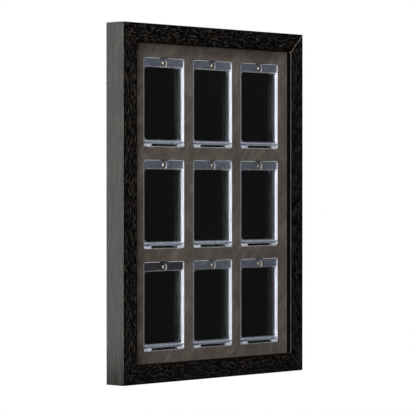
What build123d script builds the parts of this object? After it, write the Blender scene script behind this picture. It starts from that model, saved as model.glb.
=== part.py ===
"""Wall display frame for nine two-part magnetic card holders, in millimetres.

X runs across the frame, +Z is up and the front faces -Y. The origin is at the middle of the
bottom edge that the frame stands on. Depths are measured back from the front face of the moulding.
"""
import os

from build123d import *

# Moulding
FRAME_W = 358.8
FRAME_H = 470.0
FRAME_DEPTH = 31.0
FACE_W = 25.4
LIP_DEPTH = 7.6
LIP_W = 6.4
OUTER_ARRIS_R = 1.2
INNER_ARRIS_R = 0.6

# Card holder, closed, with its two halves
HOLDER_W = 77.4
HOLDER_H = 116.4
HOLDER_DEPTH = 9.5
HOLDER_R = 3.0
SPLIT_GAP = 0.1
WINDOW_W = 70.0
WINDOW_H = 95.25
WINDOW_R = 1.5
WINDOW_TOP_MARGIN = 12.2
WINDOW_RECESS = 3.0
WINDOW_BEVEL = 1.2
REAR_RECESS = 2.4
RELIEF_R = 2.1
RELIEF_INSET = 0.5
RIM_R = 0.5
CARD_W = 64.3
CARD_H = 90.2
CARD_WELL = 0.45
PLUG_DEPTH = 0.5
PLUG_GAP = 0.1
PLUG_MARGIN = 2.0
PLUG_CLEARANCE = 0.4

# Nine openings in the insert
COLUMNS = 3
ROWS = 3
CUTOUT_W = 78.0
CUTOUT_H = 117.0
CUTOUT_R = 2.5
CUTOUT_GAP_X = 17.4
CUTOUT_GAP_Z = 17.0
CUTOUTS_DROP = 0.7

# Layers behind the lip
FACING_T = 0.5
BOARD_T = 8.5
BACKING_T = 1.5
PANEL_T = 3.0
PACK_CLEARANCE = 1.0
SPACER_W = 8.0

# Hinge along the bottom of a holder
BLOCK_W = 13.5
BLOCK_H = 3.8
HINGE_DEPTH = 1.75
HINGE_Z = 2.2
BARREL_R = 1.0
BARREL_L = 4.0
RUNNING_FIT = 0.05
EAR_R = 1.4
EAR_W = 2.0
EAR_SIDE_GAP = 0.2
COVER_BOTTOM = 3.3
WING_BOTTOM = 4.5
CHAMFER_TOP = 6.0
SLOT_LIP_H = 0.7
SLOT_LIP_FRONT = 0.3
SLOT_BACK_T = 1.5
RIB_X = 7.0
RIB_W = 1.2
RIB_TOP = 2.8
RIB_FRONT = 3.6

# Magnet and finger notch at the top of a holder
MAGNET_R = 2.5
MAGNET_T = 2.5
MAGNET_BELOW_TOP = 6.9
MAGNET_DEPTH = 1.9
EYE_R = 4.2
EYE_DEPTH = 2.5
EYE_CHAMFER = 0.4
NOTCH_TOP_W = 17.0
NOTCH_FLOOR_W = 12.5
NOTCH_DEPTH = 1.7

# Corner fasteners
NAIL_LEG = 5.0
NAIL_T = 0.8
NAIL_DEPTH = 10.0
NAIL_INSETS = (5.5, 13.0)

# Turn buttons on the back
BUTTON_INSET = 10.0
BUTTON_REACH = 16.0
BUTTON_W = 10.0
BUTTON_T = 1.6
BUTTON_GAP = 0.2
BUTTON_HOLE_R = 1.6
BUTTON_HEIGHTS = (120.0, 320.0)
SCREW_HEAD_R = 3.2
SCREW_HEAD_T = 2.0
SCREW_L = 14.0
CROSS_W = 0.8
CROSS_L = 3.6
CROSS_DEPTH = 0.9

# Hangers on the back
HANGER_INSET = 9.4
HANGER_Z = 400.0
STRAP_W = 11.0
STRAP_L = 34.0
STRAP_T = 0.9
KNUCKLE_R = 2.1
KNUCKLE_W = 8.0
WIRE_R = 1.0
WIRE_FIT = 0.08
RING_HALF_W = 8.0
RING_LEG = 5.0
HANGER_SCREW_DROPS = (20.0, 29.0)
HANGER_SCREW_R = 1.4
HANGER_HEAD_R = 2.8
HANGER_HEAD_T = 1.6

# Bumpers on the back
BUMPER_R = 5.5
BUMPER_T = 3.0
BUMPER_X = 150.0
BUMPER_Z = 11.0

# Worked out from the values above
FRONT_Y = -FRAME_DEPTH / 2
REAR_Y = FRAME_DEPTH / 2
REBATE_W = FRAME_W - 2 * (FACE_W - LIP_W)
REBATE_H = FRAME_H - 2 * (FACE_W - LIP_W)
REBATE_INSET = FACE_W - LIP_W
BOARD_FRONT = LIP_DEPTH + FACING_T
BACKING_FRONT = BOARD_FRONT + BOARD_T
SPACER_FRONT = BACKING_FRONT + BACKING_T
PANEL_FRONT = FRAME_DEPTH - PANEL_T
HOLDER_FRONT = BACKING_FRONT - HOLDER_DEPTH
COVER_T = (HOLDER_DEPTH - SPLIT_GAP) / 2
BASE_FRONT = HOLDER_FRONT + COVER_T + SPLIT_GAP
WINDOW_BOTTOM = HOLDER_H - WINDOW_TOP_MARGIN - WINDOW_H
WINDOW_MID = WINDOW_BOTTOM + WINDOW_H / 2
MAGNET_Z = HOLDER_H - MAGNET_BELOW_TOP
SLOT_HALF_W = HOLDER_W / 2 - BLOCK_W


def plate(width, height, radius, front, thickness, x=0.0, z=0.0):
    """A rounded plate across the frame, centred at x and z, from depth front backwards."""
    outline = RectangleRounded(width, height, radius) if radius else Rectangle(width, height)
    return Pos(x, FRONT_Y + front + thickness, z) * Rot(90, 0, 0) * extrude(outline, thickness)


def block(x0, x1, front, back, z0, z1):
    """A rectangular block between two depths."""
    centre = ((x0 + x1) / 2, FRONT_Y + (front + back) / 2, (z0 + z1) / 2)
    return Pos(*centre) * Box(x1 - x0, back - front, z1 - z0)


def disc(radius, x, z, front, thickness):
    """A round disc or bore that runs front to back."""
    return Pos(x, FRONT_Y + front + thickness / 2, z) * Rot(90, 0, 0) * Cylinder(radius, thickness)


def bar_x(radius, x0, x1, depth, z):
    """A round bar or bore along X."""
    centre = ((x0 + x1) / 2, FRONT_Y + depth, z)
    return Pos(*centre) * Rot(0, 90, 0) * Cylinder(radius, x1 - x0)


def upright_prism(points, front, thickness):
    """A prism whose outline is given as (x, z) points, from depth front backwards."""
    solid = extrude(Polygon(*points, align=None), thickness, dir=(0, 0, 1))
    return Pos(0, FRONT_Y + front + thickness, 0) * Rot(90, 0, 0) * solid


def moulding(length):
    """One rail, lying along X with its outer edge at z = 0 and both ends mitred."""
    back = FRONT_Y + FRAME_DEPTH
    lip = FRONT_Y + LIP_DEPTH
    section = Plane.YZ * Polygon(
        (FRONT_Y, 0), (back, 0), (back, REBATE_INSET), (lip, REBATE_INSET), (lip, FACE_W), (FRONT_Y, FACE_W),
        align=None)
    rail = Pos(-length / 2, 0, 0) * extrude(section, length, dir=(1, 0, 0))
    front_edges = rail.edges().filter_by(Axis.X).group_by(Axis.Y)[0].sort_by(Axis.Z)
    rail = fillet(front_edges[0], OUTER_ARRIS_R)
    inner_edge = rail.edges().filter_by(Axis.X).group_by(Axis.Y)[0].sort_by(Axis.Z)[-1]
    rail = fillet(inner_edge, INNER_ARRIS_R)
    half = length / 2
    mitres = upright_prism(
        [(-half, 0), (half, 0), (half - FACE_W, FACE_W), (-half + FACE_W, FACE_W)], 0, FRAME_DEPTH)
    return rail & mitres


def corner_nails():
    """Two V-shaped nails across each mitre, driven in from the back."""
    nails = []
    for side_x in (-1, 1):
        for side_z in (-1, 1):
            for inset in NAIL_INSETS:
                x = side_x * (FRAME_W / 2 - inset)
                z = FRAME_H / 2 + side_z * (FRAME_H / 2 - inset)
                far_x = x - side_x * NAIL_LEG
                far_z = z - side_z * NAIL_LEG
                near_x = x - side_x * NAIL_T
                near_z = z - side_z * NAIL_T
                outline = [(x, z), (far_x, z), (far_x, near_z), (near_x, near_z), (near_x, far_z), (x, far_z)]
                nails.append(upright_prism(outline, FRAME_DEPTH - NAIL_DEPTH, NAIL_DEPTH))
    return nails


def holder_places():
    """Name, middle x and bottom z of each holder, from the top left."""
    pitch_x = CUTOUT_W + CUTOUT_GAP_X
    pitch_z = CUTOUT_H + CUTOUT_GAP_Z
    bottom = FRAME_H / 2 - CUTOUTS_DROP - (ROWS * CUTOUT_H + (ROWS - 1) * CUTOUT_GAP_Z) / 2
    places = []
    for row in range(ROWS):
        for column in range(COLUMNS):
            x = (column - (COLUMNS - 1) / 2) * pitch_x
            z = bottom + (ROWS - 1 - row) * pitch_z
            places.append((f"r{row + 1}c{column + 1}", x, z))
    return places


def holed_sheet(front, thickness):
    """A sheet that fills the rebate and has the nine openings."""
    width = REBATE_W - 2 * PACK_CLEARANCE
    height = REBATE_H - 2 * PACK_CLEARANCE
    sheet = plate(width, height, 0, front, thickness, 0, FRAME_H / 2)
    holes = [
        plate(CUTOUT_W, CUTOUT_H, CUTOUT_R, front, thickness, x, z + CUTOUT_H / 2)
        for _, x, z in holder_places()]
    return sheet - holes


def window_recess(front, depth, grow_front, grow_back):
    """The bevelled recess over the window, as the solid that is cut away."""
    faces = []
    for plane, grow in ((front, grow_front), (front + depth, grow_back)):
        outline = RectangleRounded(WINDOW_W + 2 * grow, WINDOW_H + 2 * grow, WINDOW_R + grow)
        faces.append(Pos(0, FRONT_Y + plane, WINDOW_MID) * Rot(90, 0, 0) * outline)
    return loft(faces)


def corner_reliefs():
    """Round reliefs that keep the front recess clear of a card's corners."""
    reliefs = []
    for side_x in (-1, 1):
        for side_z in (-1, 1):
            x = side_x * (WINDOW_W / 2 - RELIEF_INSET)
            z = WINDOW_MID + side_z * (WINDOW_H / 2 - RELIEF_INSET)
            reliefs.append(disc(RELIEF_R, x, z, HOLDER_FRONT, WINDOW_RECESS))
    return reliefs


def holder_base():
    """The rear half, standing at x = 0 and z = 0, with a hinge block at each bottom corner."""
    middle = HOLDER_H / 2
    back = HOLDER_FRONT + HOLDER_DEPTH
    base = plate(HOLDER_W, HOLDER_H, HOLDER_R, BASE_FRONT, back - BASE_FRONT, 0, middle)
    envelope = plate(HOLDER_W, HOLDER_H, HOLDER_R, HOLDER_FRONT, HOLDER_DEPTH, 0, middle)
    base -= block(-SLOT_HALF_W, SLOT_HALF_W, BASE_FRONT, back - SLOT_BACK_T, SLOT_LIP_H, BLOCK_H)
    base += block(-SLOT_HALF_W, SLOT_HALF_W, HOLDER_FRONT + SLOT_LIP_FRONT, back, 0, SLOT_LIP_H)
    for side in (-1, 1):
        inner, outer = sorted((side * SLOT_HALF_W, side * HOLDER_W / 2))
        base += envelope & block(inner, outer, HOLDER_FRONT, back, 0, BLOCK_H)
        base += block(side * RIB_X - RIB_W / 2, side * RIB_X + RIB_W / 2, HOLDER_FRONT + RIB_FRONT, back,
                      0, RIB_TOP)
    base -= window_recess(back - REAR_RECESS, REAR_RECESS, 0.0, WINDOW_BEVEL)
    seat_w = WINDOW_W - 2 * PLUG_MARGIN + 2 * PLUG_CLEARANCE
    seat_h = WINDOW_H - 2 * PLUG_MARGIN + 2 * PLUG_CLEARANCE
    seat_depth = PLUG_DEPTH + PLUG_GAP
    base -= plate(seat_w, seat_h, WINDOW_R, BASE_FRONT, seat_depth, 0, WINDOW_MID)
    base -= plate(CARD_W, CARD_H, WINDOW_R, BASE_FRONT + seat_depth, CARD_WELL, 0, WINDOW_MID)
    for side in (-1, 1):
        inner, outer = sorted((side * SLOT_HALF_W, side * (SLOT_HALF_W + BARREL_L + EAR_SIDE_GAP)))
        base -= bar_x(BARREL_R + RUNNING_FIT, inner, outer, HOLDER_FRONT + HINGE_DEPTH, HINGE_Z)
    return base - base_magnet()


def below_cover(half_w, bottom):
    """What is cut from under the cover out to half_w: square to the hinge's depth, then sloping forward."""
    front = FRONT_Y + HOLDER_FRONT
    hinge = front + HINGE_DEPTH
    rear = front + COVER_T
    section = Plane.YZ * Polygon(
        (front, 0), (rear, 0), (rear, bottom), (hinge, bottom), (front, CHAMFER_TOP), align=None)
    return Pos(-half_w, 0, 0) * extrude(section, 2 * half_w, dir=(1, 0, 0))


def holder_cover():
    """The front half, with its window, card well, plug, finger notch, magnet seat and pivots."""
    cover = plate(HOLDER_W, HOLDER_H, HOLDER_R, HOLDER_FRONT, COVER_T, 0, HOLDER_H / 2)
    cover = fillet(cover.edges().group_by(Axis.Y)[0], RIM_R)
    middle_cut = below_cover(SLOT_HALF_W, COVER_BOTTOM)
    wing_cut = below_cover(HOLDER_W / 2, WING_BOTTOM)
    wing_cut -= block(-SLOT_HALF_W, SLOT_HALF_W, HOLDER_FRONT, HOLDER_FRONT + COVER_T, 0, CHAMFER_TOP)
    cover -= [middle_cut, wing_cut]
    cover -= window_recess(HOLDER_FRONT, WINDOW_RECESS, WINDOW_BEVEL, 0.0)
    cover -= corner_reliefs()
    plug_w = WINDOW_W - 2 * PLUG_MARGIN
    plug_h = WINDOW_H - 2 * PLUG_MARGIN
    cover += plate(plug_w, plug_h, WINDOW_R, HOLDER_FRONT + COVER_T, PLUG_DEPTH, 0, WINDOW_MID)
    well_front = HOLDER_FRONT + COVER_T + PLUG_DEPTH - CARD_WELL
    cover -= plate(CARD_W, CARD_H, WINDOW_R, well_front, CARD_WELL, 0, WINDOW_MID)
    notch = [
        (-NOTCH_TOP_W / 2, HOLDER_H), (-NOTCH_FLOOR_W / 2, HOLDER_H - NOTCH_DEPTH),
        (NOTCH_FLOOR_W / 2, HOLDER_H - NOTCH_DEPTH), (NOTCH_TOP_W / 2, HOLDER_H)]
    cover -= upright_prism(notch, HOLDER_FRONT, COVER_T)
    cover -= disc(EYE_R, 0, MAGNET_Z, HOLDER_FRONT, EYE_DEPTH)
    chamfer = Cone(EYE_R, EYE_R + EYE_CHAMFER, EYE_CHAMFER)
    cover -= Pos(0, FRONT_Y + HOLDER_FRONT + EYE_CHAMFER / 2, MAGNET_Z) * Rot(90, 0, 0) * chamfer
    cover -= cover_magnet()
    hinge = HOLDER_FRONT + HINGE_DEPTH
    for side in (-1, 1):
        ear_out = side * (SLOT_HALF_W - EAR_SIDE_GAP)
        ear_in = ear_out - side * EAR_W
        barrel_end = side * (SLOT_HALF_W + BARREL_L)
        inner, outer = sorted((ear_in, ear_out))
        cover += bar_x(EAR_R, inner, outer, hinge, HINGE_Z)
        cover += block(inner, outer, hinge, hinge + EAR_R, HINGE_Z, COVER_BOTTOM + EAR_R)
        cover += bar_x(BARREL_R, *sorted((ear_in, barrel_end)), hinge, HINGE_Z)
    return cover


def cover_magnet():
    """The disc magnet that shows through the eye in the cover."""
    return disc(MAGNET_R, 0, MAGNET_Z, HOLDER_FRONT + MAGNET_DEPTH, MAGNET_T)


def base_magnet():
    """The disc magnet set into the back of the base."""
    return disc(MAGNET_R, 0, MAGNET_Z, HOLDER_FRONT + HOLDER_DEPTH - MAGNET_T, MAGNET_T)


def spacers():
    """Four strips between the backing sheet and the back panel, against the rebate."""
    half_w = REBATE_W / 2
    low = REBATE_INSET
    high = FRAME_H - REBATE_INSET
    depths = (SPACER_FRONT, PANEL_FRONT)
    return {
        "spacer_top": block(-half_w, half_w, *depths, high - SPACER_W, high),
        "spacer_bottom": block(-half_w, half_w, *depths, low, low + SPACER_W),
        "spacer_left": block(-half_w, -half_w + SPACER_W, *depths, low + SPACER_W, high - SPACER_W),
        "spacer_right": block(half_w - SPACER_W, half_w, *depths, low + SPACER_W, high - SPACER_W),
    }


def button_places():
    """Pivot x and z of each turn button, and the angle about Y that points it at the panel."""
    side_x = FRAME_W / 2 - BUTTON_INSET
    places = [(-side_x, z, 0) for z in BUTTON_HEIGHTS] + [(side_x, z, 180) for z in BUTTON_HEIGHTS]
    places.append((0.0, FRAME_H - BUTTON_INSET, 90))
    places.append((0.0, BUTTON_INSET, -90))
    return places


def turn_button(x, z, angle):
    """A flat catch that swings over the edge of the back panel."""
    outline = SlotCenterToCenter(BUTTON_REACH, BUTTON_W)
    arm = Pos(BUTTON_REACH / 2, 0, 0) * Rot(90, 0, 0) * extrude(outline, BUTTON_T / 2, both=True)
    arm = chamfer(arm.edges().group_by(Axis.Y)[-1], BUTTON_T / 4)
    arm -= Rot(90, 0, 0) * Cylinder(BUTTON_HOLE_R, 2 * BUTTON_T)
    return Pos(x, REAR_Y + BUTTON_GAP + BUTTON_T / 2, z) * Rot(0, angle, 0) * arm


def pan_screw(x, z, head_seat, head_r, head_t, shank_r, length):
    """A pan-head screw whose head sits on the plane y = head_seat and whose shank runs forward."""
    head = Pos(x, head_seat + head_t / 2, z) * Rot(90, 0, 0) * Cylinder(head_r, head_t)
    head = fillet(head.edges().group_by(Axis.Y)[-1], head_t / 2)
    for width, height in ((CROSS_L, CROSS_W), (CROSS_W, CROSS_L)):
        head -= Pos(x, head_seat + head_t, z) * Box(width, 2 * CROSS_DEPTH, height)
    shank = Pos(x, head_seat - length / 2, z) * Rot(90, 0, 0) * Cylinder(shank_r, length)
    return head + shank


def hanger_strap(x):
    """A steel strap bent round the ring's bar, screwed flat to the stile."""
    knuckle_depth = FRAME_DEPTH + KNUCKLE_R
    strap = block(x - STRAP_W / 2, x + STRAP_W / 2, FRAME_DEPTH, FRAME_DEPTH + STRAP_T, HANGER_Z - STRAP_L,
                  HANGER_Z - KNUCKLE_R)
    strap = fillet(strap.edges().filter_by(Axis.Y).group_by(Axis.Z)[0], STRAP_W / 3)
    strap += block(x - KNUCKLE_W / 2, x + KNUCKLE_W / 2, FRAME_DEPTH, FRAME_DEPTH + STRAP_T,
                   HANGER_Z - 2 * KNUCKLE_R, HANGER_Z)
    strap += bar_x(KNUCKLE_R, x - KNUCKLE_W / 2, x + KNUCKLE_W / 2, knuckle_depth, HANGER_Z)
    strap -= bar_x(WIRE_R + WIRE_FIT, x - KNUCKLE_W / 2, x + KNUCKLE_W / 2, knuckle_depth, HANGER_Z)
    return strap


def hanger_ring(x):
    """A D-shaped wire ring, hanging down from its straight bar."""
    depth = FRAME_DEPTH + KNUCKLE_R
    y = FRONT_Y + depth
    ring = bar_x(WIRE_R, x - RING_HALF_W, x + RING_HALF_W, depth, HANGER_Z)
    for side in (-1, 1):
        ring += Pos(x + side * RING_HALF_W, y, HANGER_Z) * Sphere(WIRE_R)
        ring += Pos(x + side * RING_HALF_W, y, HANGER_Z - RING_LEG / 2) * Cylinder(WIRE_R, RING_LEG)
    bow = Rot(90, 0, 0) * Torus(RING_HALF_W, WIRE_R)
    reach = RING_HALF_W + WIRE_R
    lower = Pos(0, 0, -reach / 2) * Box(2 * reach, 4 * WIRE_R, reach)
    return ring + Pos(x, y, HANGER_Z - RING_LEG) * (bow & lower)


def build():
    """Every node of the frame, by name."""
    nodes = {
        "frame_rail_bottom": moulding(FRAME_W),
        "frame_rail_top": Pos(0, 0, FRAME_H) * Rot(0, 180, 0) * moulding(FRAME_W),
        "frame_stile_left": Pos(-FRAME_W / 2, 0, FRAME_H / 2) * Rot(0, 90, 0) * moulding(FRAME_H),
        "frame_stile_right": Pos(FRAME_W / 2, 0, FRAME_H / 2) * Rot(0, -90, 0) * moulding(FRAME_H),
    }
    nails = corner_nails()
    hanger_x = FRAME_W / 2 - HANGER_INSET
    button_screws = [
        pan_screw(x, z, REAR_Y + BUTTON_GAP + BUTTON_T + BUTTON_GAP / 2, SCREW_HEAD_R, SCREW_HEAD_T,
                  BUTTON_HOLE_R - RUNNING_FIT, SCREW_L)
        for x, z, _ in button_places()]
    hanger_screws = [
        pan_screw(side * hanger_x, HANGER_Z - drop, REAR_Y + STRAP_T, HANGER_HEAD_R, HANGER_HEAD_T,
                  HANGER_SCREW_R, SCREW_L)
        for side in (-1, 1) for drop in HANGER_SCREW_DROPS]
    for name in list(nodes):
        nodes[name] = nodes[name] - nails - button_screws - hanger_screws

    nodes["corner_v_nails"] = Compound(children=nails)
    nodes["mat_facing"] = holed_sheet(LIP_DEPTH, FACING_T)
    nodes["insert_board"] = holed_sheet(BOARD_FRONT, BOARD_T)
    sheet_size = (REBATE_W - 2 * PACK_CLEARANCE, REBATE_H - 2 * PACK_CLEARANCE, 0)
    nodes["backing_sheet"] = plate(*sheet_size, BACKING_FRONT, BACKING_T, 0, FRAME_H / 2)
    nodes["back_panel"] = plate(*sheet_size, PANEL_FRONT, PANEL_T, 0, FRAME_H / 2)
    nodes.update(spacers())

    for number, place in enumerate(button_places(), start=1):
        nodes[f"turn_button_{number}"] = turn_button(*place)
    nodes["turn_button_screws"] = Compound(children=button_screws)
    for side, name in ((-1, "left"), (1, "right")):
        nodes[f"hanger_strap_{name}"] = hanger_strap(side * hanger_x) - hanger_screws
        nodes[f"hanger_ring_{name}"] = hanger_ring(side * hanger_x)
    nodes["hanger_screws"] = Compound(children=hanger_screws)
    nodes["wall_bumpers"] = Compound(children=[
        disc(BUMPER_R, side * BUMPER_X, BUMPER_Z, FRAME_DEPTH, BUMPER_T) for side in (-1, 1)])

    base = holder_base()
    cover = holder_cover()
    for name, x, z in holder_places():
        nodes[f"holder_base_{name}"] = Pos(x, 0, z) * base
        nodes[f"holder_cover_{name}"] = Pos(x, 0, z) * cover
        nodes[f"cover_magnet_{name}"] = Pos(x, 0, z) * cover_magnet()
    nodes["base_magnets"] = Compound(children=[Pos(x, 0, z) * base_magnet() for _, x, z in holder_places()])
    return nodes


os.makedirs("parts", exist_ok=True)
for node, shape in build().items():
    export_step(shape, f"parts/{node}.step")
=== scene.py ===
import math

import bmesh
import bpy
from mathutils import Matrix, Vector, noise


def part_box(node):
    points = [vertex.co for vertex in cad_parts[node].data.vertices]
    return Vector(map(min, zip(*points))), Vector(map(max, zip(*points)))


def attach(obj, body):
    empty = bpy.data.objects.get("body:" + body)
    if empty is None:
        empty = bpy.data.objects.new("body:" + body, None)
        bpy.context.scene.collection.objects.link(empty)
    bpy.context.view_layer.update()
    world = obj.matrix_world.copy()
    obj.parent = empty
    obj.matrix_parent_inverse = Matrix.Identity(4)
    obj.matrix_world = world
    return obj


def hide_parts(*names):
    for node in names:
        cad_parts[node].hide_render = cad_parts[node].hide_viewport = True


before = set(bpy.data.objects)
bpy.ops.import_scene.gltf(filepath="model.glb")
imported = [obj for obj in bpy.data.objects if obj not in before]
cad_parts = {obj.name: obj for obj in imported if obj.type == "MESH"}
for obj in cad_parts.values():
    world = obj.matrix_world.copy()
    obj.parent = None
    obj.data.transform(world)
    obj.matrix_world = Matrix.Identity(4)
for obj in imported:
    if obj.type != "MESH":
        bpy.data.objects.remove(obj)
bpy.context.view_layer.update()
scene = bpy.context.scene

# Lengths are in metres: X runs across the frame, +Z is up and the front faces -Y
MM = 0.001
FRAME_LO, FRAME_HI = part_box("frame_rail_bottom")
WIDTH = FRAME_HI.x - FRAME_LO.x
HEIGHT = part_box("frame_rail_top")[1].z
FRONT = FRAME_LO.y
DEPTH = FRAME_HI.y - FRAME_LO.y
FACE_W = FRAME_HI.z - FRAME_LO.z
FACING_LO, FACING_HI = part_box("mat_facing")
COVER_NODE = "holder_cover_"
HOLDERS = sorted(name.removeprefix(COVER_NODE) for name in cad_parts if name.startswith(COVER_NODE))


# ---------------------------------------------------------------- shader helpers

def set_inputs(shader_node, inputs):
    """Sets a node's inputs by name, with underscores for spaces."""
    for key, value in inputs.items():
        shader_node.inputs[key.replace("_", " ")].default_value = value


def new_material(name, **inputs):
    """A material, the tree that it lives in and its Principled shader, with these inputs set."""
    material = bpy.data.materials.new(name)
    material.use_nodes = True
    shader = material.node_tree.nodes["Principled BSDF"]
    set_inputs(shader, inputs)
    return material, material.node_tree, shader


def link(tree, source, target):
    tree.links.new(source, target)


def node(tree, kind, **inputs):
    """A shader node with these inputs set."""
    made = tree.nodes.new(kind)
    set_inputs(made, inputs)
    return made


def object_space(tree, scale=(1, 1, 1), turn=(0, 0, 0)):
    """Object coordinates in millimetres, turned and then scaled."""
    coordinates = tree.nodes.new("ShaderNodeTexCoord")
    mapping = tree.nodes.new("ShaderNodeMapping")
    mapping.vector_type = "TEXTURE"
    mapping.inputs["Scale"].default_value = [MM / s for s in scale]
    mapping.inputs["Rotation"].default_value = turn
    link(tree, coordinates.outputs["Object"], mapping.inputs["Vector"])
    return mapping.outputs["Vector"]


def noise_at(tree, vector, scale, detail=4.0, roughness=0.55, distortion=0.0):
    """Noise from about 0.3 to 0.7, with this many features per millimetre."""
    made = node(tree, "ShaderNodeTexNoise", Scale=scale, Detail=detail, Roughness=roughness,
                Distortion=distortion)
    link(tree, vector, made.inputs["Vector"])
    return made.outputs["Fac"]


def spread(tree, source, span, onto):
    """Source mapped from one (low, high) range onto another."""
    made = node(tree, "ShaderNodeMapRange", From_Min=span[0], From_Max=span[1],
                To_Min=onto[0], To_Max=onto[1])
    link(tree, source, made.inputs["Value"])
    return made.outputs["Result"]


def mixed(tree, a, b, factor):
    """a and b blended as numbers."""
    made = node(tree, "ShaderNodeMix", Factor=factor)
    link(tree, a, made.inputs["A"])
    link(tree, b, made.inputs["B"])
    return made.outputs["Result"]


def tint(tree, shader, source, *stops):
    """Colours the shader by source, through a ramp of (position, colour) stops."""
    made = tree.nodes.new("ShaderNodeValToRGB")
    elements = made.color_ramp.elements
    while len(elements) < len(stops):
        elements.new(0.5)
    for element, (position, colour) in zip(elements, stops):
        element.position = position
        element.color = (*colour, 1)
    link(tree, source, made.inputs["Fac"])
    link(tree, made.outputs["Color"], shader.inputs["Base Color"])


def vary_roughness(tree, shader, source, low, high):
    """Makes the shader's roughness follow a noise, from low to high."""
    link(tree, spread(tree, source, (0.3, 0.7), (low, high)), shader.inputs["Roughness"])


def add_bump(tree, shader, height, distance, strength):
    made = node(tree, "ShaderNodeBump", Distance=distance, Strength=strength)
    link(tree, height, made.inputs["Height"])
    link(tree, made.outputs["Normal"], shader.inputs["Normal"])


# ---------------------------------------------------------------- materials

# The least and most that a surface's roughness varies to, as shares of its middle value
SMOOTHER = 0.7
ROUGHER = 1.3
ACRYLIC_IOR = 1.49


def embossed_wrap():
    """Black foil over embossed grain: the mesh's grain attribute is 0 in the pores and 1 on the ridges.
    The ridges are coloured far lighter than the pores, partly the print's own grain and partly a painted
    highlight for the light that their slopes catch.
    """
    material, tree, shader = new_material("embossed_wrap", Roughness=0.45, Specular_IOR_Level=0.05)
    attribute = tree.nodes.new("ShaderNodeAttribute")
    attribute.attribute_name = "grain"
    fine = noise_at(tree, object_space(tree), scale=0.9, detail=5, roughness=0.65)
    ridge_tone_and_highlight = mixed(tree, attribute.outputs["Fac"], fine, 0.12)
    # Ridges many times lighter than the pores: print grain plus painted highlight
    tint(tree, shader, ridge_tone_and_highlight,
         (0.1, (0.0008, 0.0006, 0.0005)), (0.3, (0.002, 0.0017, 0.0015)), (0.8, (0.033, 0.0285, 0.0245)))
    add_bump(tree, shader, fine, distance=0.03 * MM, strength=0.4)
    return material


def smooth_wrap(grain_axis):
    """The same foil over the plain sides, with fine streaks and a few pale flecks along the rail."""
    material, tree, shader = new_material(f"smooth_wrap_{grain_axis}", Specular_IOR_Level=0.43)
    long = {"x": (0.05, 1, 1), "z": (1, 1, 0.05)}[grain_axis]
    short = {"x": (0.25, 1, 1), "z": (1, 1, 0.25)}[grain_axis]
    streaks = noise_at(tree, object_space(tree, long), scale=0.8, detail=5, roughness=0.65, distortion=0.3)
    flecks = noise_at(tree, object_space(tree, short), scale=0.34, detail=2)
    pale = spread(tree, flecks, (0.62, 0.78), (0.3, 1.0))
    tint(tree, shader, mixed(tree, streaks, pale, 0.28),
         (0.3, (0.0008, 0.0006, 0.0005)), (0.46, (0.0075, 0.0062, 0.0048)), (0.68, (0.049, 0.042, 0.034)))
    vary_roughness(tree, shader, streaks, 0.22, 0.36)
    add_bump(tree, shader, streaks, distance=0.04 * MM, strength=0.5)
    return material


def lip_wrap():
    """The foil inside the lip, dull and without grain."""
    material, tree, shader = new_material("lip_wrap", Roughness=0.4, Specular_IOR_Level=0.06)
    cloud = noise_at(tree, object_space(tree), scale=0.3, detail=3)
    tint(tree, shader, cloud, (0.3, (0.0006, 0.0005, 0.0005)), (0.7, (0.0015, 0.0013, 0.0012)))
    return material


def worn_wrap():
    """The foil painted pale along an arris: a painted highlight, the thin light line where the edge
    catches the light.
    """
    material, tree, shader = new_material("worn_wrap", Roughness=0.5)
    highlight_streak = noise_at(tree, object_space(tree, (1, 1, 0.2)), scale=0.6)
    tint(tree, shader, highlight_streak, (0.35, (0.013, 0.0115, 0.0105)), (0.65, (0.056, 0.05, 0.045)))
    return material


def cut_wood():
    """The bare mitre where the foil has been sawn through."""
    material, tree, shader = new_material("cut_wood", Roughness=0.8)
    fibres = noise_at(tree, object_space(tree), scale=0.9, roughness=0.6)
    tint(tree, shader, fibres, (0.3, (0.11, 0.085, 0.07)), (0.7, (0.3, 0.25, 0.21)))
    return material


def raw_wood():
    """Softwood, with its fibres drawn out from front to back."""
    material, tree, shader = new_material("raw_wood", Roughness=0.75)
    fibres = noise_at(tree, object_space(tree, (1, 0.2, 1)), scale=1.4, roughness=0.6)
    tint(tree, shader, fibres, (0.3, (0.16, 0.1, 0.055)), (0.7, (0.33, 0.22, 0.13)))
    return material


def suede():
    """Brushed suede: soft blotches, diagonal brush marks and a short nap."""
    material, tree, shader = new_material(
        "suede", Roughness=0.95, Specular_IOR_Level=0.15, Sheen_Weight=0.2, Sheen_Roughness=0.5,
        Sheen_Tint=(0.9, 0.8, 0.72, 1))
    leaning = object_space(tree, (1, 1, 0.16), (0, math.radians(38), 0))
    blotch = noise_at(tree, object_space(tree), scale=0.03, detail=5, roughness=0.6, distortion=0.8)
    brush = noise_at(tree, leaning, scale=0.16, detail=5, roughness=0.6, distortion=0.2)
    nap = noise_at(tree, object_space(tree), scale=1.1, roughness=0.7)
    tint(tree, shader, mixed(tree, mixed(tree, blotch, brush, 0.38), nap, 0.25),
         (0.37, (0.021, 0.0164, 0.013)), (0.49, (0.039, 0.031, 0.0252)), (0.62, (0.083, 0.0685, 0.058)))
    add_bump(tree, shader, mixed(tree, nap, brush, 0.35), distance=0.25 * MM, strength=0.6)
    return material


def acrylic(name, colour, roughness, transmission=1.0):
    """Clear moulded plastic with faint flow marks."""
    material, tree, shader = new_material(
        name, Base_Color=(*colour, 1), Transmission_Weight=transmission, IOR=ACRYLIC_IOR)
    flow = noise_at(tree, object_space(tree, (1, 1, 0.5)), scale=0.06, detail=3)
    vary_roughness(tree, shader, flow, SMOOTHER * roughness, ROUGHER * roughness)
    return material


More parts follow.
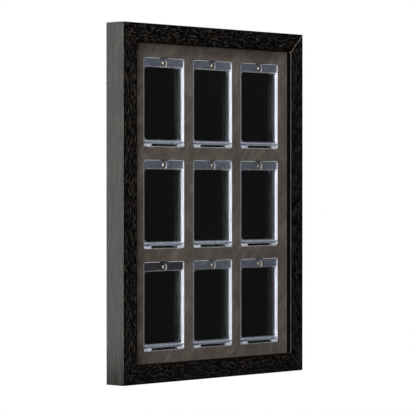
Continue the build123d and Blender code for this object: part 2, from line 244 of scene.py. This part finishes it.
def painted_glint_acrylic():
    """The hinge blocks, with their glints painted into the colour as light and dark specks, for the many
    small faces that glint.
    """
    material, tree, shader = new_material(
        "block_acrylic", Transmission_Weight=0.5, IOR=ACRYLIC_IOR, Roughness=0.2)
    glints = noise_at(tree, object_space(tree), scale=0.5, detail=3, roughness=0.7, distortion=0.4)
    # Dark and bright specks: painted glints
    tint(tree, shader, glints,
         (0.38, (0.1, 0.12, 0.18)), (0.46, (0.6, 0.68, 0.9)), (0.56, (0.98, 0.99, 1.0)))
    return material


def frosted_edge():
    """The moulded side walls, made opaque white so that they look lit through the clear rim: a painted
    highlight for the light that clear acrylic carries to its sides.
    """
    material, tree, shader = new_material("frosted_edge", Roughness=0.5)
    grain = noise_at(tree, object_space(tree, (1, 1, 0.15)), scale=0.7)
    tint(tree, shader, grain, (0.3, (0.92, 0.92, 0.93)), (0.7, (0.985, 0.985, 0.985)))
    return material


def dark_eye():
    """Near-black painted shade, put on the seat round each magnet and on the walls that no light reaches.
    """
    material, tree, shader = new_material("dark_eye", Roughness=0.4)
    shade_mottle = noise_at(tree, object_space(tree), scale=1.2, detail=3)
    tint(tree, shader, shade_mottle, (0.3, (0.003, 0.003, 0.003)), (0.7, (0.012, 0.011, 0.01)))
    return material


def foam():
    """The cut foam core of the insert board."""
    material, tree, shader = new_material("foam_core", Roughness=0.9)
    cells = noise_at(tree, object_space(tree), scale=1.6, detail=5, roughness=0.65)
    tint(tree, shader, cells, (0.3, (0.7, 0.7, 0.68)), (0.7, (0.86, 0.86, 0.84)))
    add_bump(tree, shader, cells, distance=0.2 * MM, strength=0.5)
    return material


def black_card():
    """Smooth black sheet with a glossy coat."""
    material, tree, shader = new_material("black_card", Specular_IOR_Level=1.0)
    fibre = noise_at(tree, object_space(tree), scale=2.2, roughness=0.7)
    tint(tree, shader, fibre, (0.3, (0.003, 0.0021, 0.0018)), (0.7, (0.0065, 0.0048, 0.0042)))
    vary_roughness(tree, shader, fibre, 0.05, 0.09)
    return material


def fibreboard():
    """Hard brown board, with short fibres and a soft unevenness."""
    material, tree, shader = new_material("fibreboard", Roughness=0.8)
    fibre = noise_at(tree, object_space(tree), scale=0.9, detail=6, roughness=0.7)
    cloud = noise_at(tree, object_space(tree), scale=0.015, detail=3)
    tint(tree, shader, mixed(tree, fibre, cloud, 0.45),
         (0.35, (0.17, 0.105, 0.06)), (0.65, (0.29, 0.19, 0.115)))
    add_bump(tree, shader, fibre, distance=0.1 * MM, strength=0.4)
    return material


def plated(name, low, high, roughness):
    """Plated metal with a slightly uneven polish."""
    material, tree, shader = new_material(name, Metallic=1.0)
    wear = noise_at(tree, object_space(tree), scale=0.8, detail=5, roughness=0.6)
    tint(tree, shader, wear, (0.3, low), (0.7, high))
    vary_roughness(tree, shader, wear, SMOOTHER * roughness, ROUGHER * roughness)
    add_bump(tree, shader, wear, distance=0.02 * MM, strength=0.4)
    return material


def rubber():
    """Dusty black rubber."""
    material, tree, shader = new_material("bumper_rubber", Roughness=0.8)
    dust = noise_at(tree, object_space(tree), scale=1.5, detail=5, roughness=0.65)
    tint(tree, shader, dust, (0.3, (0.02, 0.02, 0.02)), (0.7, (0.045, 0.044, 0.042)))
    add_bump(tree, shader, dust, distance=0.05 * MM, strength=0.4)
    return material


FACE_WRAP = embossed_wrap()
SIDE_WRAP_X = smooth_wrap("x")
SIDE_WRAP_Z = smooth_wrap("z")
LIP_WRAP = lip_wrap()
ARRIS_HIGHLIGHT_WRAP = worn_wrap()
CUT_WOOD = cut_wood()
RAW_WOOD = raw_wood()
SUEDE = suede()
FOAM = foam()
CARD = black_card()
BOARD = fibreboard()
ZINC = plated("zinc_plate", (0.32, 0.32, 0.305), (0.5, 0.49, 0.46), roughness=0.32)
NICKEL = plated("nickel_plate", (0.88, 0.79, 0.6), (1.0, 0.93, 0.78), roughness=0.38)
RUBBER = rubber()

# The holders' moulded faces, each by the name of its zone. All are one clear acrylic, tinted lighter or
# darker zone by zone for how the light falls: bevel, foot, glint, strip, edge and block carry painted
# highlights, sill and wall fainter ones, arris and dark carry painted shade, and the band's blue-grey is
# partly the thick rim's own tint and partly painted light.
HOLDER_FINISH = {
    "clear": acrylic("clear_acrylic", (0.98, 0.99, 1.0), roughness=0.02),
    "edge": frosted_edge(),
    "band": acrylic("frosted_rim", (0.53, 0.58, 0.71), roughness=0.3, transmission=0.9),
    "bevel": acrylic("bevel_acrylic", (0.93, 0.95, 1.0), roughness=0.25, transmission=0.52),
    "foot": acrylic("foot_acrylic", (0.68, 0.74, 0.88), roughness=0.25, transmission=0.68),
    "wall": acrylic("wall_acrylic", (0.62, 0.66, 0.76), roughness=0.06, transmission=0.95),
    "glint": acrylic("glint_acrylic", (0.92, 0.94, 1.0), roughness=0.2, transmission=0.52),
    "dark": dark_eye(),
    "sill": acrylic("sill_acrylic", (0.66, 0.71, 0.84), roughness=0.2, transmission=0.89),
    "arris": acrylic("arris_acrylic", (0.25, 0.27, 0.32), roughness=0.7, transmission=0.7),
    "block": painted_glint_acrylic(),
    "strip": acrylic("lit_acrylic", (0.9, 0.92, 0.96), roughness=0.1, transmission=0.55),
}
ZONES = list(HOLDER_FINISH)
# One holder's band painted darker: painted shade for the lesser light that its rim catches
SHADED_BAND = acrylic("dim_rim", (0.14, 0.143, 0.165), roughness=0.3, transmission=0.87)


# ---------------------------------------------------------------- camera, light and floor

LENS = 202.0
CAMERA_AT = (-2.3285, -2.1205, 0.2558)
CAMERA_AIM = (-0.0178, FRONT, 0.2286)
FAR_CLIP = 50

# Each light's name, place, size and power
LIGHT_AIM = (0, 0, 0.25)
KEY_LIGHT = ("key", (-0.6, -1.2, 2.4), (1.0, 0.7), 36)
LEFT_LIGHT = ("left", (-2.12, -0.93, 0.5), (1.2, 1.2), 78)
FRONT_LIGHT = ("front", (0.2, -2.2, 0.9), (0.5, 0.7), 5)

# The glow of the surroundings: dim away from the bright side and bright towards it
BRIGHT_SIDE = (-0.74, 0.67, 0.0)
DIM_UP_TO = -0.3
BRIGHT_FROM = 0.6
DIM = 0.02
BRIGHT = 1.9

FLOOR_R = 0.4
FLOOR_CORNERS = 96
FLOOR_GREY = 0.15
FLOOR_GLOW = 0.88


def add_aimed(thing, place, aim):
    """Adds a camera or light to the scene at place, looking at aim."""
    scene.collection.objects.link(thing)
    thing.location = place
    thing.rotation_mode = "QUATERNION"
    thing.rotation_quaternion = (Vector(aim) - Vector(place)).to_track_quat("-Z", "Y")


def make_camera():
    data = bpy.data.cameras.new("camera")
    data.lens = LENS
    data.clip_end = FAR_CLIP
    camera = bpy.data.objects.new("camera", data)
    add_aimed(camera, CAMERA_AT, CAMERA_AIM)
    bpy.context.scene.camera = camera


def soft_light(name, place, size, power):
    data = bpy.data.lights.new(name, "AREA")
    data.shape = "RECTANGLE"
    data.size, data.size_y = size
    data.energy = power
    add_aimed(bpy.data.objects.new(name, data), place, LIGHT_AIM)


def make_world():
    """White to the camera; to the object, bright behind and to the left and dim to the front right."""
    world = bpy.data.worlds.new("studio")
    scene.world = world
    world.use_nodes = True
    tree = world.node_tree
    coordinates = tree.nodes.new("ShaderNodeTexCoord")
    lean = tree.nodes.new("ShaderNodeVectorMath")
    lean.operation = "DOT_PRODUCT"
    lean.inputs[1].default_value = BRIGHT_SIDE
    link(tree, coordinates.outputs["Generated"], lean.inputs[0])
    glow = spread(tree, lean.outputs["Value"], (DIM_UP_TO, BRIGHT_FROM), (DIM, BRIGHT))
    seen = tree.nodes.new("ShaderNodeLightPath")
    choice = node(tree, "ShaderNodeMix", B=1.0)
    link(tree, seen.outputs["Is Camera Ray"], choice.inputs["Factor"])
    link(tree, glow, choice.inputs["A"])
    background = tree.nodes["Background"]
    background.inputs["Color"].default_value = (1, 1, 1, 1)
    link(tree, choice.outputs["Result"], background.inputs["Strength"])


def make_floor():
    """A round white floor, small enough that the lowest windows don't mirror it to the front."""
    mesh = bpy.data.meshes.new("floor")
    ring = [2 * math.pi * i / FLOOR_CORNERS for i in range(FLOOR_CORNERS)]
    points = [(FLOOR_R * math.cos(a), FLOOR_R * math.sin(a), 0) for a in ring]
    mesh.from_pydata(points, [], [list(range(FLOOR_CORNERS))])
    floor = bpy.data.objects.new("floor", mesh)
    scene.collection.objects.link(floor)
    material, tree, shader = new_material(
        "floor_white", Base_Color=(FLOOR_GREY, FLOOR_GREY, FLOOR_GREY, 1), Roughness=0.9,
        Specular_IOR_Level=0.0, Emission_Color=(1, 1, 1, 1))
    seen = tree.nodes.new("ShaderNodeLightPath")
    glow = spread(tree, seen.outputs["Is Camera Ray"], (0, 1), (0, FLOOR_GLOW))
    link(tree, glow, shader.inputs["Emission Strength"])
    mesh.materials.append(material)


make_camera()
make_world()
make_floor()
for light in (KEY_LIGHT, LEFT_LIGHT, FRONT_LIGHT):
    soft_light(*light)
scene.view_settings.view_transform = "Standard"


# ---------------------------------------------------------------- mesh helpers

def to_object(mesh, name, materials):
    """Turns a bmesh into an object of the scene, with these material slots."""
    data = bpy.data.meshes.new(name)
    mesh.to_mesh(data)
    mesh.free()
    for material in materials:
        data.materials.append(material)
    made = bpy.data.objects.new(name, data)
    scene.collection.objects.link(made)
    return made


def sharpen(made, degrees):
    """Marks the edges that turn by more than this as sharp."""
    made.data.set_sharp_from_angle(angle=math.radians(degrees))


def bridge(mesh, ring, other):
    """Smooth faces between two closed rings of as many vertices."""
    for i in range(len(ring)):
        face = mesh.faces.new((ring[i - 1], ring[i], other[i], other[i - 1]))
        face.smooth = True


def middle_xz(lo, hi):
    """The middle (x, z) of a box, seen from the front."""
    return (lo.x + hi.x) / 2, (lo.z + hi.z) / 2


# ---------------------------------------------------------------- moulding

# Section of a rail
LIP_DEPTH = FACING_LO.y - FRONT
REBATE_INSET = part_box("spacer_bottom")[0].z
OUTER_R = 0.8 * MM
INNER_R = 0.8 * MM
ARRIS_DEPTH = 1.1 * INNER_R
SIDE_SUPPORT = 6 * MM
REAR_EASE = 0.05 * MM
FACE_STEPS = 84
RING_STEP = 0.9 * MM
RAIL_SHARP_FROM = 50

# The embossed grain: thin ridges that sway along the rail, in patches
GRAIN_DEPTH = 0.3 * MM
GRAIN_LEVEL = 0.3
GRAIN_FADE = 0.8 * MM
GRAIN_LENGTH = 8.5 * MM
GRAIN_WIDTH = 1.1 * MM
RIDGE_SHARPNESS = 4.4
RIPPLE = 0.22
RIPPLE_SCALE = 2.3
SWAY = 1.6
SWAY_LENGTH = 13 * MM
SWAY_WIDTH = 22 * MM
PATCH_LEVEL = 0.85
PATCH_LENGTH = 8 * MM
PATCH_WIDTH = 2.4 * MM
RIDGE_SEED = 7.3
PATCH_SEED = 3.9
RAIL_SEED_STEP = 3.1

# How far each side of a mitre has drawn back at the front, and from what gap bare wood shows
MITRE_GAPS = {
    "bottom_left": 0.05 * MM,
    "bottom_right": 0.12 * MM,
    "top_right": 0.4 * MM,
    "top_left": 0.05 * MM,
}
BARE_FROM = 0.1 * MM
# The one rail whose inner arris takes the painted highlight
HIGHLIGHTED_ARRIS_RAIL = "moulding_stile_right"
RAIL_ZONES = ("face", "cut", "side", "lip", "arris")


def arc(centre, radius, start, end, steps):
    """Points (y, z) on an arc, angles in degrees."""
    points = []
    for i in range(steps + 1):
        angle = math.radians(start + (end - start) * i / steps)
        points.append((centre[0] + radius * math.cos(angle), centre[1] + radius * math.sin(angle)))
    return points


def rail_section():
    """Outline of a rail as (y, z, is it on the front face), from the outer back corner round."""
    back = FRONT + DEPTH - REAR_EASE
    lip = FRONT + LIP_DEPTH
    outline = [(back, 0), (back - SIDE_SUPPORT, 0), (FRONT + DEPTH / 2, 0), (FRONT + SIDE_SUPPORT, 0)]
    outline += arc((FRONT + OUTER_R, OUTER_R), OUTER_R, -90, -180, 5)
    section = [(y, z, False) for y, z in outline]
    low = OUTER_R
    high = FACE_W - INNER_R
    section += [(FRONT, low + (high - low) * i / FACE_STEPS, True) for i in range(1, FACE_STEPS)]
    inner = arc((FRONT + INNER_R, FACE_W - INNER_R), INNER_R, 180, 90, 4)
    inner += [(FRONT + LIP_DEPTH / 2, FACE_W), (lip, FACE_W), (lip, REBATE_INSET), (back, REBATE_INSET)]
    section += [(y, z, False) for y, z in inner]
    return section


def face_noise(along, across, length, width, seed):
    """Noise over a rail's face, with features of this length and width."""
    return noise.noise(Vector((along / length, across / width, seed)))


def grain_at(along, across, seed):
    """The embossed grain: 0 in the pores and up to 1 on the thin wavering ridges along the rail."""
    sway = face_noise(along, across, SWAY_LENGTH, SWAY_WIDTH, seed)
    point = Vector((along / GRAIN_LENGTH, across / GRAIN_WIDTH + SWAY * sway, seed + RIDGE_SEED))
    swell = noise.noise(point) + RIPPLE * noise.noise(point * RIPPLE_SCALE)
    patch = PATCH_LEVEL + face_noise(along, across, PATCH_LENGTH, PATCH_WIDTH, seed + PATCH_SEED)
    return max(0.0, min(1.0, (1.0 - RIDGE_SHARPNESS * abs(swell)) * patch))


def ring_places(length, start_gap, end_gap):
    """Where the rings of a rail stand, as (share of the length, distance from that share)."""
    steps = round(length / RING_STEP)
    inner = [(i / steps, 0.0) for i in range(1, steps)]
    return [(0.0, 0.0), (0.0, start_gap), *inner, (1.0, -end_gap), (1.0, 0.0)]


def rail_zone(start, end):
    """Zone of a rail between two points of its section."""
    deepest = max(start[0], end[0])
    if start[2] or end[2] or deepest < FRONT + OUTER_R / 2:
        return "face"
    if start[1] < FACE_W / 2:
        return "side"
    return "arris" if deepest < FRONT + ARRIS_DEPTH else "lip"


def rail_rings(mesh, section, length, gaps, place, seed):
    """The rings of a rail's vertices, embossed on the face and sunk by each mitre's gap at the ends."""
    grain = mesh.verts.layers.float.new("grain")
    places = ring_places(length, *gaps)
    last = len(places) - 1
    rings = []
    for i, (share, shift) in enumerate(places):
        recess = {0: gaps[0], last: gaps[1]}.get(i, 0.0)
        ring = []
        for y, z, on_face in section:
            x = (share - 0.5) * (length - 2 * z) + shift
            depth = y + (recess if y < FRONT + OUTER_R else 0.0)
            ridge = 0.0
            if on_face and 1 < i < last - 1:
                edge = min(z - OUTER_R, FACE_W - INNER_R - z)
                ridge = grain_at(x, z, seed) * min(1.0, edge / GRAIN_FADE)
                depth += GRAIN_DEPTH * (GRAIN_LEVEL - ridge)
            point = mesh.verts.new(place(x, depth, z))
            # The same ridge value lightens the foil's colour in the shader: print grain plus painted
            # highlight
            point[grain] = ridge
            ring.append(point)
        rings.append(ring)
    return rings


def make_rail(name, length, place, side_wrap, corners, seed):
    """One rail; place turns (x along, y, z from the outer edge) into the frame's position."""
    section = rail_section()
    gaps = [MITRE_GAPS[corner] for corner in corners]
    mesh = bmesh.new()
    rings = rail_rings(mesh, section, length, gaps, place, seed)
    count = len(section)
    spans = len(rings) - 1
    for i in range(spans):
        gap = {0: gaps[0], spans - 1: gaps[1]}.get(i, 0.0)
        for j in range(count):
            k = (j + 1) % count
            face = mesh.faces.new((rings[i][j], rings[i][k], rings[i + 1][k], rings[i + 1][j]))
            face.smooth = True
            bare = gap > BARE_FROM and section[j][0] < FRONT + LIP_DEPTH / 4
            zone = "cut" if bare else rail_zone(section[j], section[k])
            face.material_index = RAIL_ZONES.index(zone)
    for ring in (rings[0], rings[-1]):
        cap = mesh.faces.new(ring)
        cap.material_index = RAIL_ZONES.index("cut")
    bmesh.ops.recalc_face_normals(mesh, faces=mesh.faces)
    # Only the right stile's inner arris is painted pale, a painted highlight; the other arrises keep the
    # dark lip foil
    arris = ARRIS_HIGHLIGHT_WRAP if name == HIGHLIGHTED_ARRIS_RAIL else LIP_WRAP
    rail = to_object(mesh, name, (FACE_WRAP, CUT_WOOD, side_wrap, LIP_WRAP, arris))
    sharpen(rail, RAIL_SHARP_FROM)
    return rail


RAILS = {
    "frame_rail_bottom": (WIDTH, lambda x, y, z: (x, y, z), SIDE_WRAP_X, ("bottom_left", "bottom_right")),
    "frame_rail_top": (WIDTH, lambda x, y, z: (-x, y, HEIGHT - z), SIDE_WRAP_X, ("top_right", "top_left")),
    "frame_stile_left": (HEIGHT, lambda x, y, z: (-WIDTH / 2 + z, y, HEIGHT / 2 - x), SIDE_WRAP_Z,
                         ("top_left", "bottom_left")),
    "frame_stile_right": (HEIGHT, lambda x, y, z: (WIDTH / 2 - z, y, HEIGHT / 2 + x), SIDE_WRAP_Z,
                          ("bottom_right", "top_right")),
}
for number, (name, rail_facts) in enumerate(RAILS.items()):
    rail = make_rail(name.replace("frame", "moulding"), *rail_facts, RAIL_SEED_STEP * number)
    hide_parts(name)
    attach(rail, "frame")


# ---------------------------------------------------------------- suede facing

# Openings in the suede, each a little larger than its holder
CUT_GAP = 0.3 * MM
CUT_R = 2.5 * MM
ROLL_STEPS = 4


def rounded_loop(centre, half, radius, steps=6):
    """Points (x, z) round a rectangle with rounded corners."""
    points = []
    for number, (side_x, side_z) in enumerate(((1, 1), (-1, 1), (-1, -1), (1, -1))):
        x = centre[0] + side_x * (half[0] - radius)
        z = centre[1] + side_z * (half[1] - radius)
        for i in range(steps + 1):
            angle = math.radians(90 * (number + i / steps))
            points.append((x + radius * math.cos(angle), z + radius * math.sin(angle)))
    return points


def add_loop(mesh, points, y):
    """A closed ring of vertices and the edges between them."""
    ring = [mesh.verts.new((x, y, z)) for x, z in points]
    return ring, [mesh.edges.new((ring[i - 1], ring[i])) for i in range(len(ring))]


def rolled_opening(mesh, lo, hi, front, roll):
    """Rolls the suede back round one holder, and gives the edges of the roll's front and back."""
    loops = []
    for i in range(ROLL_STEPS + 1):
        angle = math.radians(90 * i / ROLL_STEPS)
        grow = CUT_GAP + roll * (1 - math.sin(angle))
        half = ((hi.x - lo.x) / 2 + grow, (hi.z - lo.z) / 2 + grow)
        points = rounded_loop(middle_xz(lo, hi), half, CUT_R + grow - CUT_GAP)
        loops.append(add_loop(mesh, points, front + roll * (1 - math.cos(angle))))
        if i:
            bridge(mesh, loops[i - 1][0], loops[i][0])
    return loops[0][1], loops[-1][1]


def make_facing():
    """The suede sheet, with the edge of each opening rolled back over the board."""
    mesh = bmesh.new()
    front, back = FACING_LO.y, FACING_HI.y
    roll = back - front
    half = ((FACING_HI.x - FACING_LO.x) / 2, (FACING_HI.z - FACING_LO.z) / 2)
    outline = rounded_loop(middle_xz(FACING_LO, FACING_HI), half, roll, 1)
    front_ring, front_edges = add_loop(mesh, outline, front)
    back_ring, back_edges = add_loop(mesh, outline, back)
    bridge(mesh, front_ring, back_ring)
    for name in HOLDERS:
        opening_front, opening_back = rolled_opening(mesh, *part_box("holder_base_" + name), front, roll)
        front_edges += opening_front
        back_edges += opening_back
    for edges in (front_edges, back_edges):
        bmesh.ops.triangle_fill(mesh, use_beauty=True, use_dissolve=False, edges=edges)
    bmesh.ops.recalc_face_normals(mesh, faces=mesh.faces)
    return to_object(mesh, "suede_facing", (SUEDE,))


facing = make_facing()
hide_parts("mat_facing")
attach(facing, "frame")


# ---------------------------------------------------------------- magnets

# How far the domed magnet goes past the CAD's flat disc, and how much its face curves
MAGNET_GROW = 0.3 * MM
MAGNET_EASE = 0.1 * MM
MAGNET_SHARP_FROM = 40
DOME_PROUD = 1.5 * MM
DOME_RISE = 1.1 * MM
DOME_SHOULDER = 1.15
DOME_STEPS = 8
TURNS = 40


def make_magnet(name, lo, hi):
    """A disc magnet with a domed face, turned about its own axis."""
    radius = (hi.x - lo.x) / 2 + MAGNET_GROW
    x, z = middle_xz(lo, hi)
    top = lo.y - DOME_PROUD
    profile = [
        (radius * i / DOME_STEPS, top + DOME_RISE * (i / DOME_STEPS) ** 2)
        for i in range(1, DOME_STEPS)]
    profile += [(radius, top + DOME_RISE * DOME_SHOULDER), (radius, hi.y - MAGNET_EASE),
                (radius - MAGNET_EASE, hi.y)]
    turns = [2 * math.pi * i / TURNS for i in range(TURNS)]
    mesh = bmesh.new()
    rings = []
    for r, y in profile:
        points = [(x + r * math.cos(a), y, z + r * math.sin(a)) for a in turns]
        rings.append([mesh.verts.new(point) for point in points])
    for ring, other in zip(rings, rings[1:]):
        bridge(mesh, ring, other)
    tip = mesh.verts.new((x, top, z))
    for i in range(TURNS):
        face = mesh.faces.new((tip, rings[0][i - 1], rings[0][i]))
        face.smooth = True
    mesh.faces.new(rings[-1])
    bmesh.ops.recalc_face_normals(mesh, faces=mesh.faces)
    magnet = to_object(mesh, name, (NICKEL,))
    sharpen(magnet, MAGNET_SHARP_FROM)
    return magnet


for name in HOLDERS:
    magnet = make_magnet("domed_magnet_" + name, *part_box("cover_magnet_" + name))
    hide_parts("cover_magnet_" + name)
    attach(magnet, "cover_" + name)


# ---------------------------------------------------------------- CAD nodes that stay

# Material of each node, by how its name starts
NODE_FINISH = {
    "insert_board": FOAM,
    "backing_sheet": CARD,
    "back_panel": BOARD,
    "spacer_": RAW_WOOD,
    "turn_button": ZINC,
    "hanger": ZINC,
    "corner_v_nails": ZINC,
    "base_magnets": NICKEL,
    "wall_bumpers": RUBBER,
}
for name, cad_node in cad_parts.items():
    for start, material in NODE_FINISH.items():
        if name.startswith(start):
            cad_node.data.materials.clear()
            cad_node.data.materials.append(material)


# ---------------------------------------------------------------- card holders

# Depths from the holder's front, and heights and widths from its edges
HOLDER_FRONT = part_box(COVER_NODE + HOLDERS[0])[0].y
STRIP_W = 2.5 * MM
BAND_H = 11.0 * MM
FOOT_H = 7.75 * MM
FOOT_DEPTH = 3.0 * MM
BLOCK_H = 3.8 * MM
SLOT_HALF_W = 25.2 * MM
SPLIT_DEPTH = 4.7 * MM
LIT_DEPTH = 6.8 * MM
WINDOW_DEPTH = 3.0 * MM
BEVEL_DEPTH = 3.1 * MM
SKIN = 0.2 * MM
RIM_R = 0.5 * MM
EYE_R = 4.6 * MM
EYE_RIM_DEPTH = 0.45 * MM
NOTCH_HALF_W = 8.5 * MM
NOTCH_DEPTH = 1.8 * MM
RELIEF_R = 2.3 * MM
RELIEF_SIDE = 4.2 * MM
RELIEF_LOW = 9.45 * MM
RELIEF_HIGH = 12.7 * MM

# How far a face's normal goes along an axis, from barely leaning that way to square to it
ROUNDED = 0.05
LEANING = 0.1
SLOPING = 0.3
MOSTLY = 0.5
SQUARE = 0.9

HOLDER_SHARP_FROM = 28
CUT_TOLERANCE = 0.001 * MM
# The holder whose band takes the painted shade
SHADED_HOLDER = "r3c1"


def near_relief(place, lo, hi):
    """Whether a point (x, z) is on one of the round reliefs at the window corners."""
    sides = (lo.x + RELIEF_SIDE, hi.x - RELIEF_SIDE)
    heights = (lo.z + RELIEF_LOW, hi.z - RELIEF_HIGH)
    corners = [Vector((x, z)) for x in sides for z in heights]
    return any((place - corner).length < RELIEF_R for corner in corners)


def rim_zone(centre, normal, depth, lo, hi, eye):
    """Zone of a face at the magnet's eye, the finger notch, the rounded rim or a side, or None."""
    on_left = centre.x < eye.x
    side = min(centre.x - lo.x, hi.x - centre.x)
    # The eye's shallow chamfer takes the painted highlight, its deeper walls the painted shade
    if (centre.xz - eye).length < EYE_R and depth < SPLIT_DEPTH:
        return "glint" if depth < EYE_RIM_DEPTH else "dark"
    # The top fillet takes the painted highlight
    if centre.z > hi.z - RIM_R and depth < RIM_R and normal.z > ROUNDED:
        return "glint"
    if centre.z > hi.z - NOTCH_DEPTH and normal.z > SLOPING and abs(centre.x - eye.x) < NOTCH_HALF_W:
        return "band"
    # The right fillet takes the painted highlight, the left one the shaded arris
    if side < RIM_R and depth < RIM_R and abs(normal.x) > ROUNDED:
        return "arris" if on_left else "glint"
    # Side walls: painted white light near the front, painted shade deeper down and at the front of the
    # left side
    if side < SKIN and abs(normal.x) > SQUARE:
        if depth > LIT_DEPTH:
            return "dark"
        return "arris" if on_left and depth < SPLIT_DEPTH else "edge"
    return None


def front_zone(centre, normal, depth, lo, hi, eye):
    """Zone of a face of the foot, the window's reliefs and bevels, the bright strip or the top band."""
    # Left-facing window walls deep in the holder take the painted shade
    if normal.x < -SQUARE and depth > WINDOW_DEPTH:
        return "dark"
    # The foot's front takes a painted highlight; the hinge blocks take painted glints and the slot between
    # them the shaded arris
    if centre.z < lo.z + FOOT_H and depth < FOOT_DEPTH and normal.y < -LEANING:
        if centre.z > lo.z + BLOCK_H:
            return "foot"
        return "block" if abs(centre.x - eye.x) > SLOT_HALF_W else "arris"
    # The round reliefs at the window corners take the painted highlight
    if depth < WINDOW_DEPTH and abs(normal.y) < LEANING and near_relief(centre.xz, lo, hi):
        return "glint"
    # The right-hand strip of the front takes the painted highlight
    if normal.y < -SQUARE and depth < SKIN and centre.x > hi.x - STRIP_W:
        return "strip"
    if normal.y < -SQUARE and centre.z > hi.z - BAND_H and (depth < SKIN or depth > SPLIT_DEPTH):
        return "band"
    # Down-facing bevels take a strong painted highlight, up-facing sills and side walls fainter ones
    if depth < BEVEL_DEPTH and -SQUARE < normal.y < -LEANING:
        if abs(normal.x) > MOSTLY:
            return "wall"
        return "bevel" if normal.z < 0 else "sill"
    return "clear"


def holder_zone(face, lo, hi, eye):
    """Zone of a face of a holder, one of ZONES."""
    centre = face.calc_center_median()
    facts = (centre, face.normal, centre.y - HOLDER_FRONT, lo, hi, eye)
    return rim_zone(*facts) or front_zone(*facts)


def make_shell(name, source, lo, hi, eye, finish):
    """One half of a holder, cut so that its front splits into band, side strips and foot."""
    mesh = bmesh.new()
    mesh.from_mesh(source.data)
    mesh.transform(source.matrix_world)
    planes = [
        ((lo.x + STRIP_W, 0, 0), (1, 0, 0)),
        ((hi.x - STRIP_W, 0, 0), (1, 0, 0)),
        ((0, 0, hi.z - BAND_H), (0, 0, 1)),
        ((0, 0, lo.z + FOOT_H), (0, 0, 1)),
        ((0, HOLDER_FRONT + LIT_DEPTH, 0), (0, 1, 0)),
    ]
    for point, normal in planes:
        geometry = mesh.verts[:] + mesh.edges[:] + mesh.faces[:]
        bmesh.ops.bisect_plane(mesh, geom=geometry, dist=CUT_TOLERANCE, plane_co=point, plane_no=normal)
    for face in mesh.faces:
        face.material_index = ZONES.index(holder_zone(face, lo, hi, eye))
        face.smooth = True
    shell = to_object(mesh, name, finish.values())
    sharpen(shell, HOLDER_SHARP_FROM)
    return shell


for name in HOLDERS:
    lo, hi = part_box("holder_base_" + name)
    eye = Vector(middle_xz(*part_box("cover_magnet_" + name)))
    finish = dict(HOLDER_FINISH)
    # That holder's band takes the painted shade
    if name == SHADED_HOLDER:
        finish["band"] = SHADED_BAND
    for half, body in (("base", "frame"), ("cover", "cover_" + name)):
        node_name = f"holder_{half}_{name}"
        shell = make_shell(f"{half}_shell_{name}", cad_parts[node_name], lo, hi, eye, finish)
        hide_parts(node_name)
        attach(shell, body)
